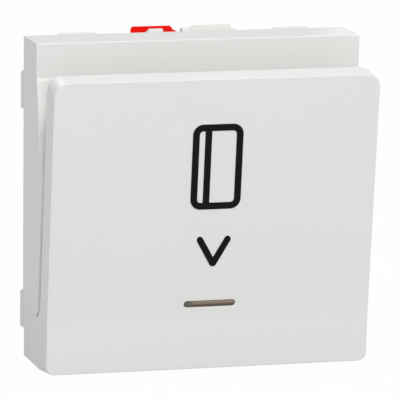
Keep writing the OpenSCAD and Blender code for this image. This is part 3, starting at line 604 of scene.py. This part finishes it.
class CARDSWITCH_OT_cover(bpy.types.Operator):
    """Card cover with its rounded front edge, its soft bend and lower corners that run out"""

    bl_idname = "card_switch.cover"
    bl_label = "Card cover"

    def run_out(self, piece, half, floor):
        """Lets the two round lower corners run out to a point towards the rear."""
        cut = 1.2  # radius of the corners in the solid
        shape = edit(piece)
        for f in shape.faces:
            at = f.calc_center_median() / MM
            if f.normal.y < -0.9 and abs(at.x) > half - cut and at.z < floor + cut:
                back = f.verts[0].co.y / MM
                for v in f.verts:
                    v.co = Vector((math.copysign(half, at.x), back, floor)) * MM
        bpy.ops.mesh.select_all(action="SELECT")
        bpy.ops.mesh.remove_doubles(threshold=MERGE)
        close(piece)

        def in_corner(v):
            at, reach = v.co / MM, cut + 0.01
            return abs(at.x) > half - reach and at.z < floor + reach and at.y < back + 0.01

        front = min(v.co.y for v in piece.data.vertices if in_corner(v)) / MM
        for share in (0.2, 0.4, 0.6, 0.8):
            choose(piece, lambda f, at: all(in_corner(v) for v in f.verts))
            level = (back + share * (front - back)) * MM
            bpy.ops.mesh.bisect(plane_co=(0, level, 0), plane_no=(0, 1, 0))
            close(piece)
        shape = edit(piece)
        for v in shape.verts:
            run = (v.co.y / MM - back) / (front - back)
            if in_corner(v) and 0.01 < run < 0.9:
                corner = Vector((math.copysign(half, v.co.x) * MM, v.co.y, floor * MM))
                v.co = corner + (v.co - corner) * run
        close(piece)

    def execute(self, context):
        sizes = context.scene.card_switch_sizes
        low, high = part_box("card_cover")
        half, floor = high.x / MM, low.z / MM
        shell = -14.5  # the outer faces lie in front of this
        rim = 1.75  # the plate's sides lean in by less than this
        plate_top = 18.9
        window_half, window_low, window_high = 4, -13.2, -11.8
        lower_edge = 0.12 * MM
        piece = solid_of("card_cover", "cover_moulding")
        self.run_out(piece, half, floor)

        def width_of(m, a, b):
            facing, turn = (a.y < -0.9, b.y < -0.9), a.angle(b, 0)
            outer = abs(m.x) > half - ON or (abs(m.x) > half - rim and m.z > 0)
            if all(facing) and m.y < shell:
                return sizes.cover_bend if turn > math.radians(2) else 0
            if any(facing) and m.y < shell:
                if abs(m.x) < window_half and window_low < m.z < window_high:
                    return sizes.seam
                down = max(0.0, -(b if facing[0] else a).z)
                return sizes.cover_edge + (lower_edge - sizes.cover_edge) * down
            if turn <= SHARP:
                return 0
            if m.z > plate_top or (m.z > 0 and outer):
                return sizes.cover_rear
            return sizes.seam if outer or m.z < floor + ON else 0

        round_chosen(piece, sizes.cover_bend, width_of)
        seat(piece, "card_cover")
        return {"FINISHED"}


class CARDSWITCH_OT_body(bpy.types.Operator):
    """Front body with a rounded top edge, a small ledge under the band and a fuller slot corner"""

    bl_idname = "card_switch.body"
    bl_label = "Front body"

    def execute(self, context):
        sizes = context.scene.card_switch_sizes
        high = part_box("front_body")[1]
        half, top = high.x / MM, high.z / MM
        band_low, band_front, ledge_top = 17.5, -9.2, 17.85
        round_y, round_z, radius = -7.783, -12, 2.6  # the round corner at the slot's bottom
        fuller_y, fuller_z, fuller = -10.092, -14.6, 0.54  # where it is drawn to, and how far
        fine = 0.1 * MM
        piece = solid_of("front_body", "body_moulding")
        choose(piece, lambda f, at: f.normal.y < -0.999 and at.z > band_low and at.y < -9)
        bpy.ops.mesh.bisect(plane_co=(0, 0, ledge_top * MM), plane_no=(0, 0, 1))
        shape = bmesh.from_edit_mesh(piece.data)
        for v in shape.verts:
            at = v.co / MM
            if near(at.z, band_low, by=0.01) and near(at.y, band_front, by=0.01):
                v.co.y -= sizes.body_ledge
            elif near(math.hypot(at.y - round_y, at.z - round_z), radius, by=0.02) and at.z < -12.2:
                v.co.y = (fuller_y + (at.y - fuller_y) * fuller) * MM
                v.co.z = (fuller_z + (at.z - fuller_z) * fuller) * MM
        close(piece)

        def width_of(m, a, b):
            turn = a.angle(b, 0)
            level = abs(a.x) + abs(b.x) < 0.1
            if level and band_low - 0.1 < m.z < ledge_top + 0.1 and m.y < -9:
                return fine
            if a.y < -0.9 and b.y < -0.9 and turn > math.radians(10):
                return sizes.body_edge
            if turn < SHARP:
                return 0
            if m.z > top - ON and m.y < band_front + 0.1:
                return sizes.body_edge
            if abs(m.x) > half - ON:
                return sizes.body_side if m.y < -1.7 else sizes.seam
            nose_opening = m.y < -8 and abs(m.x) < 4 and -11 < m.z < -4
            return fine if m.z > top - ON or nose_opening else 0

        round_chosen(piece, sizes.body_edge, width_of)
        seat(piece, "front_body")
        return {"FINISHED"}


class CARDSWITCH_OT_liner(bpy.types.Operator):
    """Liner that closes the cover behind, and the light bar and lens inside it"""

    bl_idname = "card_switch.liner"
    bl_label = "Liner, light bar and lens"

    def execute(self, context):
        for node, name, width in (
            ("cover_liner", "liner_moulding", 0.1),
            ("light_guide", "light_bar", 0.06),
            ("indicator_lens", "lens_window", 0.1),
        ):
            piece = solid_of(node, name)
            round_all(piece, width * MM, 3)
            seat(piece, node)
        return {"FINISHED"}


class CARDSWITCH_OT_symbol(bpy.types.Operator):
    """Printed card outline with its stripe, and the arrow under it, fuller than in the solid"""

    bl_idname = "card_switch.symbol"
    bl_label = "Printed symbol"

    def execute(self, context):
        thicker = 0.02 * MM  # by which each side of the card's lines stands out
        longer, wider = 1.07, 1.04  # size of the arrow against the solid's
        apart = 0.05 * MM  # by which each arm of the arrow moves out
        slimmer, deeper = 0.05 * MM, 0.28 * MM  # draw in the arms' inner sides and the notch
        piece = solid_of("card_symbol", "symbol_print")
        shape = edit(piece)
        arrow = [v for v in shape.verts if v.co.z < -3 * MM]
        tip = max(arrow, key=lambda v: (round(-v.co.z / MM, 1), v.co.y)).co.copy()
        tip.x = (min(v.co.x for v in arrow) + max(v.co.x for v in arrow)) / 2
        for v in shape.verts:
            sides = [f.normal for f in v.link_faces if abs(f.normal.y) < 0.5]
            side = sum(sides, Vector()).normalized()
            if v in arrow:
                out = v.co - tip
                arm = 0 if abs(out.x) < 0.01 * MM else math.copysign(1, out.x)
                inside = max(0, side.dot(Vector((-0.87 * arm, 0, 0.5))))
                v.co = tip + out * longer - side * inside * (slimmer if arm else deeper)
                v.co.x += apart * arm - out.x * (longer - wider)
            else:
                v.co += side * thicker
        close(piece)
        even_shading(piece)
        seat(piece, "card_symbol")
        return {"FINISHED"}


class CARDSWITCH_OT_plunger(bpy.types.Operator):
    """Plunger whose sloped nose the card pushes back"""

    bl_idname = "card_switch.plunger"
    bl_label = "Card plunger"

    def execute(self, context):
        piece = solid_of("card_plunger", "plunger_moulding")
        even_shading(piece)
        seat(piece, "card_plunger")
        return {"FINISHED"}


class CARDSWITCH_OT_rear(bpy.types.Operator):
    """Flange with its lugs, housing, closing plate and rear cover with funnelled wire entries"""

    bl_idname = "card_switch.rear"
    bl_label = "Rear mouldings"

    def shape_flange(self, piece):
        """Straightens the lugs' rear ends, slants the side lugs and turns a side of each guard."""
        straighten, slant, lift = 0.35 * MM, 0.34 * MM, 0.2 * MM
        left_guard, right_guard = 0.2 * MM, 0.36 * MM
        shape = edit(piece)
        for v in shape.verts:
            at = v.co / MM
            rear = near(at.y, 0, by=0.01)
            if rear and abs(at.x) > 21.5 and near(at.z, 12.8, -17.4):
                v.co.z -= straighten
            elif rear and abs(at.z) > 21.5 and near(at.x, -12.8, 17.4):
                v.co.x += straighten
            elif at.y < -1.5 and abs(at.x) > 22.4:
                v.co.x -= math.copysign(slant, at.x)
                if near(at.z, 17.8, -12.4):
                    v.co.z += lift
            elif near(at.x, 0.5) and at.z > 22.5:
                v.co.x -= right_guard
            elif near(at.x, -2.43) and near(at.y, 0) and at.z > 21.8:
                v.co.x -= left_guard
        close(piece)

    def execute(self, context):
        sizes = context.scene.card_switch_sizes
        for node, name in (
            ("mounting_flange", "flange_moulding"),
            ("rear_housing", "housing_moulding"),
            ("mechanism_plate", "closing_plate"),
        ):
            piece = solid_of(node, name)
            if node == "mounting_flange":
                self.shape_flange(piece)
            round_all(piece, sizes.rear_edge, 2, 40)
            seat(piece, node)

        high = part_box("rear_cover")[1] / MM
        rim_edge, seam_edge = 0.3 * MM, 0.1 * MM
        piece = solid_of("rear_cover", "rear_cover_moulding")

        def width_of(m, a, b):
            rim = abs(m.x) > high.x - ON or abs(m.z) > high.z - ON
            if a.angle(b, 0) < SHARP:
                return 0
            if m.y > high.y - ON:
                return rim_edge if rim else sizes.entry_funnel
            return seam_edge if rim else 0

        round_chosen(piece, sizes.entry_funnel, width_of, 3)
        seat(piece, "rear_cover")
        return {"FINISHED"}


class CARDSWITCH_OT_buttons(bpy.types.Operator):
    """Four release buttons: red for line, white for the others"""

    bl_idname = "card_switch.buttons"
    bl_label = "Release buttons"

    def execute(self, context):
        sizes = context.scene.card_switch_sizes
        tones = context.scene.card_switch_colours
        first = "release_button_line"
        low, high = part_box(first)
        mid = (low.x + high.x) / 2
        head, top, rear = high.z - 0.98 * MM, high.z - 0.01 * MM, high.y - 0.01 * MM
        narrower = 0.85  # width of the head's rear against the solid's
        right, left, left_top, lift = 0.33 * MM, 0.16 * MM, 0.31 * MM, 0.07 * MM
        piece = solid_of(first, "button_cap_line")
        shape = edit(piece)
        for v in shape.verts:
            if v.co.z > head and v.co.y > rear:
                v.co.z -= sizes.button_slope
                v.co.x = mid + (v.co.x - mid) * narrower
            elif v.co.z > head and abs(v.co.x - mid) > 1.5 * MM:
                topmost = v.co.z > top
                v.co.x += right if v.co.x > mid else -left_top if topmost else -left
                v.co.z += lift if topmost else 0
        close(piece)
        round_all(piece, sizes.button_edge, 3)
        # the buttons' finish is the body's white painted lighter, to lift the shade that falls on
        # them behind the body's top edge
        white = finish("white_moulded_polyamide", gloss_moulding, tones.cap, 0.35)
        for name in TERMINALS[1:]:
            twin(piece, first, f"release_button_{name}", f"button_cap_{name}", white)
        seat(piece, first)
        return {"FINISHED"}


class CARDSWITCH_OT_coils(bpy.types.Operator):
    """Plunger spring and contact spring: wound wire with a closed turn at each end"""

    bl_idname = "card_switch.coils"
    bl_label = "Coil springs"

    def execute(self, context):
        wire = context.scene.card_switch_sizes.spring_wire
        sides, turn_steps, ring_steps = 12, 28, 36
        for node, name, turns, give in (
            ("plunger_spring", "plunger_coil", 4.5, 2.0),
            ("contact_spring", "contact_coil", 4.0, 1.35),
        ):
            low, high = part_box(node)
            mid, reach = (low + high) / 2, high.y - low.y
            run, mean = reach - 2 * wire, (high.x - low.x) / 2 - wire
            only()
            bpy.ops.mesh.primitive_circle_add(
                vertices=sides,
                radius=wire,
                fill_type="NOTHING",
                location=(mean, 0, 0),
                rotation=(math.pi / 2, 0, 0),
            )
            piece = context.active_object
            piece.name = name
            settle(piece)
            apply(
                piece,
                "SCREW",
                axis="Z",
                angle=2 * math.pi * turns,
                screw_offset=run,
                steps=round(turn_steps * turns),
                render_steps=round(turn_steps * turns),
                use_smooth_shade=True,
            )
            edit(piece)
            bpy.ops.mesh.select_all(action="SELECT")
            bpy.ops.mesh.fill_holes(sides=sides)
            close(piece)
            for z in (0, run):
                bpy.ops.mesh.primitive_torus_add(
                    major_radius=mean,
                    minor_radius=wire,
                    major_segments=ring_steps,
                    minor_segments=sides,
                    location=(0, 0, z),
                )
                piece.select_set(True)
                context.view_layer.objects.active = piece
                bpy.ops.object.join()
            piece.rotation_euler = (-math.pi / 2, 0, 0)
            piece.location = (mid.x, low.y + wire, mid.z)
            settle(piece)
            edit(piece)
            bpy.ops.mesh.select_all(action="SELECT")
            bpy.ops.mesh.normals_make_consistent(inside=False)
            close(piece)
            even_shading(piece, 50)
            seat(piece, node)
            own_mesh(piece)
        return {"FINISHED"}


class CARDSWITCH_OT_clamps(bpy.types.Operator):
    """Clamp springs: a flat leg, a bend and a rising leg that the release button pushes down"""

    bl_idname = "card_switch.clamps"
    bl_label = "Clamp springs"

    def execute(self, context):
        leaf = context.scene.card_switch_sizes.leaf
        first = "clamp_spring_line"
        low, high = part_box(first)
        flat, tip = low.z + leaf / 2, high.z - leaf / 2
        turn, rise_angle = 1.2 * MM, math.radians(25.5)  # radius of the bend, slope of the leg
        short, push = 0.3 * MM, 1.85 * MM  # the flat leg ends short; the button's push
        centre = Vector(((low.x + high.x) / 2, high.y - leaf / 2 - turn, flat + turn))
        foot = centre.y - low.y - short
        only()
        bpy.ops.mesh.primitive_plane_add(size=1, location=(centre.x, centre.y - foot / 2, flat))
        piece = context.active_object
        piece.name = "clamp_leaf_line"
        piece.scale = (high.x - low.x, foot, 1)
        settle(piece)
        shape = edit(piece)
        for e in shape.edges:
            e.select = all(abs(v.co.y - centre.y) < MERGE for v in e.verts)
        shape.select_flush_mode()
        bmesh.update_edit_mesh(piece.data)
        bpy.ops.mesh.spin(
            steps=12,
            angle=rise_angle - math.pi,
            center=centre,
            axis=(1, 0, 0),
            use_auto_merge=False,
        )
        shape = bmesh.from_edit_mesh(piece.data)
        climb = tip - max(v.co.z for v in shape.verts if v.select)
        bpy.ops.mesh.extrude_region_move(
            TRANSFORM_OT_translate={"value": (0, -climb / math.tan(rise_angle), climb)}
        )
        bpy.ops.mesh.select_all(action="SELECT")
        bpy.ops.mesh.normals_make_consistent(inside=False)
        close(piece)
        apply(piece, "SOLIDIFY", thickness=leaf, offset=0.0)
        round_all(piece, 0.06 * MM, 2, 40)
        made = [
            twin(piece, first, f"clamp_spring_{name}", f"clamp_leaf_{name}")
            for name in TERMINALS[1:]
        ]
        for name, spring in zip(TERMINALS, (seat(piece, first), *made)):
            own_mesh(spring)
        return {"FINISHED"}


class CARDSWITCH_OT_metal(bpy.types.Operator):
    """Terminal bars, contact arm, contacts, pivot pin and contact pins"""

    bl_idname = "card_switch.metal"
    bl_label = "Terminals and contacts"

    def execute(self, context):
        edge = context.scene.card_switch_sizes.metal_edge
        for node, name, width in (
            *((f"terminal_{t}", f"terminal_bar_{t}", edge) for t in TERMINALS),
            ("contact_arm", "arm_blade", edge),
            ("arm_contact", "arm_rivet", 2 * edge),
            ("fixed_contact_open", "contact_button_open", 2 * edge),
            ("fixed_contact_closed", "contact_button_closed", 2 * edge),
            ("pivot_pin", "arm_pin", 1.5 * edge),
            ("lamp_contact_pins", "contact_pins", edge),
        ):
            piece = solid_of(node, name)
            round_all(piece, width, 2, 40)
            seat(piece, node)
        return {"FINISHED"}


class CARDSWITCH_OT_lamp(bpy.types.Operator):
    """Indicator board with its lamp and its banded resistor"""

    bl_idname = "card_switch.lamp"
    bl_label = "Lamp board"

    def lamp_body(self, context):
        """A block with a tapered cup in front, and the resin that stands up a little in it."""
        rim, cup, taper, lip, dome = 0.35 * MM, 0.3 * MM, 0.8, 0.2 * MM, 0.15 * MM
        low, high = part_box("indicator_lamp")
        mid = (low + high) / 2
        only()
        bpy.ops.mesh.primitive_cube_add(size=1, location=mid, scale=high - low)
        piece = context.active_object
        piece.name = "lamp_body"
        settle(piece)
        shape = edit(piece)
        for f in shape.faces:
            f.select = f.normal.y < -0.9
        bmesh.update_edit_mesh(piece.data)
        bpy.ops.mesh.inset(thickness=rim)
        bpy.ops.mesh.extrude_region_move(TRANSFORM_OT_translate={"value": (0, cup, 0)})
        bpy.ops.transform.resize(value=(taper, 1, taper), center_override=mid)
        bpy.ops.mesh.inset(thickness=lip)
        bpy.ops.transform.translate(value=(0, -dome, 0))
        close(piece)
        round_all(piece, 0.08 * MM)
        seat(piece, "indicator_lamp")

    def resistor(self, context):
        """A rod with a thicker cap near each end and narrowed ends."""
        waist, end_width = 0.86, 0.7  # width of the middle and of the ends against the caps
        low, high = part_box("lamp_resistor")
        mid, span = (low + high) / 2, high.z - low.z
        radius = (high.x - low.x) / 2 * waist
        only()
        bpy.ops.mesh.primitive_cylinder_add(vertices=28, radius=radius, depth=span, location=mid)
        piece = context.active_object
        piece.name = "banded_resistor"
        settle(piece)
        for share in (0.06, 0.16, 0.26, 0.74, 0.84, 0.94):
            edit(piece)
            bpy.ops.mesh.select_all(action="SELECT")
            level = low.z + share * span
            bpy.ops.mesh.bisect(plane_co=(mid.x, mid.y, level), plane_no=(0, 0, 1))
            close(piece)
        shape = edit(piece)
        for v in shape.verts:
            share = (v.co.z - low.z) / span
            end = min(share, 1 - share)
            if 0.04 < end < 0.2:
                swell = 1 / waist
            else:
                swell = end_width if end < 0.01 else 1
            v.co.x = mid.x + (v.co.x - mid.x) * swell
            v.co.y = mid.y + (v.co.y - mid.y) * swell
        close(piece)
        round_all(piece, 0.12 * MM, 2, 15)
        seat(piece, "lamp_resistor")

    def execute(self, context):
        piece = solid_of("indicator_board", "lamp_board")
        round_all(piece, 0.1 * MM)
        seat(piece, "indicator_board")
        self.lamp_body(context)
        self.resistor(context)
        return {"FINISHED"}


# Stage


def seen(tree):
    """How white the surround looks along a ray: all white to the eye and through glass, and a
    little under half as white in a gloss."""
    ray = put(tree, "ShaderNodeLightPath").outputs
    gloss = put(tree, MATH, {0: ray["Is Glossy Ray"], 1: 0.45}, {"operation": "MULTIPLY"})
    sharp = put(tree, MATH, {
        0: ray["Is Camera Ray"], 1: ray["Is Transmission Ray"]
    }, {"operation": "MAXIMUM"})
    whole = put(tree, MATH, {0: sharp.outputs[0], 1: gloss.outputs[0]}, {"operation": "MAXIMUM"})
    return whole.outputs[0]


def floor_sheet(tree, at):
    """Matt white sheet: near white to the eye, with the object's own soft shadow left on it.
    From below it can be looked through."""
    fibre = put(tree, NOISE, {"Vector": at, "Scale": 1 / (6 * MM), "Detail": 2.0})
    tone = put(tree, MIX, {
        0: fibre.outputs["Fac"], 6: srgb("#C2C2C2"), 7: srgb("#C8C8C8")
    }, COLOURS)
    sheet = put(tree, "ShaderNodeBsdfDiffuse", {"Color": tone.outputs[2]})
    white = put(tree, "ShaderNodeEmission", {"Color": (1, 1, 1, 1), "Strength": 1.0})
    share = put(tree, MATH, {0: seen(tree), 1: 0.98}, {"operation": "MULTIPLY"})
    lit = put(tree, "ShaderNodeMixShader", {
        0: share.outputs[0], 1: sheet.outputs[0], 2: white.outputs[0]
    })
    side = put(tree, "ShaderNodeNewGeometry")
    clear = put(tree, "ShaderNodeBsdfTransparent")
    return put(tree, "ShaderNodeMixShader", {
        0: side.outputs["Backfacing"], 1: lit.outputs[0], 2: clear.outputs[0]
    })


class CARDSWITCH_OT_stage(bpy.types.Operator):
    """Pale floor, white surround, soft lamps and the camera"""

    bl_idname = "card_switch.stage"
    bl_label = "Stage"

    def lamp(self, name, watts, azimuth, elevation, width):
        """A soft lamp 0.6 m from the switch; azimuth 0 is in front and 90 on the right."""
        aim, away = Vector((0, -0.008, 0)), 0.6
        turn, rise = math.radians(azimuth), math.radians(elevation)
        flat = math.cos(rise)
        way = Vector((math.sin(turn) * flat, -math.cos(turn) * flat, math.sin(rise)))
        only()
        bpy.ops.object.light_add(
            type="AREA",
            location=aim + away * way,
            rotation=(-way).to_track_quat("-Z", "Y").to_euler(),
        )
        lamp = bpy.context.active_object
        lamp.name = name
        lamp.data.shape, lamp.data.size = "SQUARE", width
        lamp.data.energy = watts

    def surround(self, strength):
        """A world that gives even light and looks white."""
        world = bpy.context.scene.world or bpy.data.worlds.new("studio")
        bpy.context.scene.world = world
        world.use_nodes = True
        tree, white = world.node_tree, (1, 1, 1, 1)
        tree.nodes.clear()
        light = put(tree, "ShaderNodeBackground", {"Color": white, "Strength": strength})
        sight = put(tree, "ShaderNodeBackground", {"Color": white, "Strength": 1.0})
        both = put(tree, "ShaderNodeMixShader", {
            0: seen(tree), 1: light.outputs[0], 2: sight.outputs[0]
        })
        put(tree, "ShaderNodeOutputWorld", {"Surface": both.outputs[0]})

    def camera(self, stage):
        """A long lens at the place and with the turns that the stage's values give."""
        flat = math.cos(stage.pitch)
        forward = Vector(
            (math.sin(stage.yaw) * flat, math.cos(stage.yaw) * flat, -math.sin(stage.pitch))
        )
        level = Vector((math.cos(stage.yaw), -math.sin(stage.yaw), 0))
        right = level * math.cos(stage.roll) + level.cross(forward) * math.sin(stage.roll)
        up = right.cross(forward)
        only()
        bpy.ops.object.camera_add()
        camera = bpy.context.active_object
        camera.name = "camera"
        turn = Matrix((right, up, -forward)).transposed().to_4x4()
        camera.matrix_world = Matrix.Translation(stage.place) @ turn
        camera.data.sensor_width = 36
        camera.data.lens = stage.lens
        camera.data.clip_start, camera.data.clip_end = 0.01, 20
        bpy.context.scene.camera = camera

    def execute(self, context):
        stage = context.scene.card_switch_stage
        only()
        below = CAD_BOX[0].z - 0.3 * MM
        bpy.ops.mesh.primitive_plane_add(size=6, location=(0, 0, below))
        floor = context.active_object
        floor.name = "floor"
        floor.data.materials.append(finish("white_floor_sheet", floor_sheet))
        self.surround(stage.surround)
        for name, azimuth, elevation, width in (
            ("key", 0, 52, 0.2),
            ("fill", 50, 50, 0.25),
            ("front", -13, 14, 0.15),
            ("left", -75, 30, 0.5),
            ("rear", 180, 60, 0.8),
            ("back", 215, 20, 0.8),
            ("glint", 183, 29, 0.18),
            ("spark", 154, 12, 0.15),
        ):
            self.lamp(f"{name}_lamp", getattr(stage, name), azimuth, elevation, width)
        self.camera(stage)
        context.scene.view_settings.view_transform = "Standard"
        return {"FINISHED"}


class CARDSWITCH_PT_panel(bpy.types.Panel):
    """Lists the steps that build the switch, with their sizes and colours"""

    bl_idname = "CARDSWITCH_PT_panel"
    bl_label = "Key card switch"
    bl_space_type = "VIEW_3D"
    bl_region_type = "UI"
    bl_category = "Card switch"

    def draw(self, context):
        for step in STEPS:
            self.layout.operator(step.bl_idname)
        for group in GROUPS:
            box = self.layout.box()
            values = getattr(context.scene, group)
            for key in values.bl_rna.properties.keys():
                if key not in ("rna_type", "name"):
                    box.prop(values, key)


STEPS = (
    CARDSWITCH_OT_cover,
    CARDSWITCH_OT_body,
    CARDSWITCH_OT_liner,
    CARDSWITCH_OT_symbol,
    CARDSWITCH_OT_plunger,
    CARDSWITCH_OT_rear,
    CARDSWITCH_OT_buttons,
    CARDSWITCH_OT_coils,
    CARDSWITCH_OT_clamps,
    CARDSWITCH_OT_metal,
    CARDSWITCH_OT_lamp,
    CARDSWITCH_OT_stage,
)
GROUPS = {
    "card_switch_sizes": CardSwitchSizes,
    "card_switch_colours": CardSwitchColours,
    "card_switch_stage": CardSwitchStage,
}


def register():
    for group in GROUPS.values():
        bpy.utils.register_class(group)
    for step in (*STEPS, CARDSWITCH_PT_panel):
        bpy.utils.register_class(step)
    for key, group in GROUPS.items():
        setattr(bpy.types.Scene, key, bpy.props.PointerProperty(type=group))


def unregister():
    for key in GROUPS:
        delattr(bpy.types.Scene, key)
    for step in (CARDSWITCH_PT_panel, *reversed(STEPS)):
        bpy.utils.unregister_class(step)
    for group in GROUPS.values():
        bpy.utils.unregister_class(group)


def main():
    register()
    bpy.ops.card_switch.cover()
    bpy.ops.card_switch.body()
    bpy.ops.card_switch.liner()
    bpy.ops.card_switch.symbol()
    bpy.ops.card_switch.plunger()
    bpy.ops.card_switch.rear()
    bpy.ops.card_switch.buttons()
    bpy.ops.card_switch.coils()
    bpy.ops.card_switch.clamps()
    bpy.ops.card_switch.metal()
    bpy.ops.card_switch.lamp()
    bpy.ops.card_switch.stage()


if __name__ == "__main__":
    main()
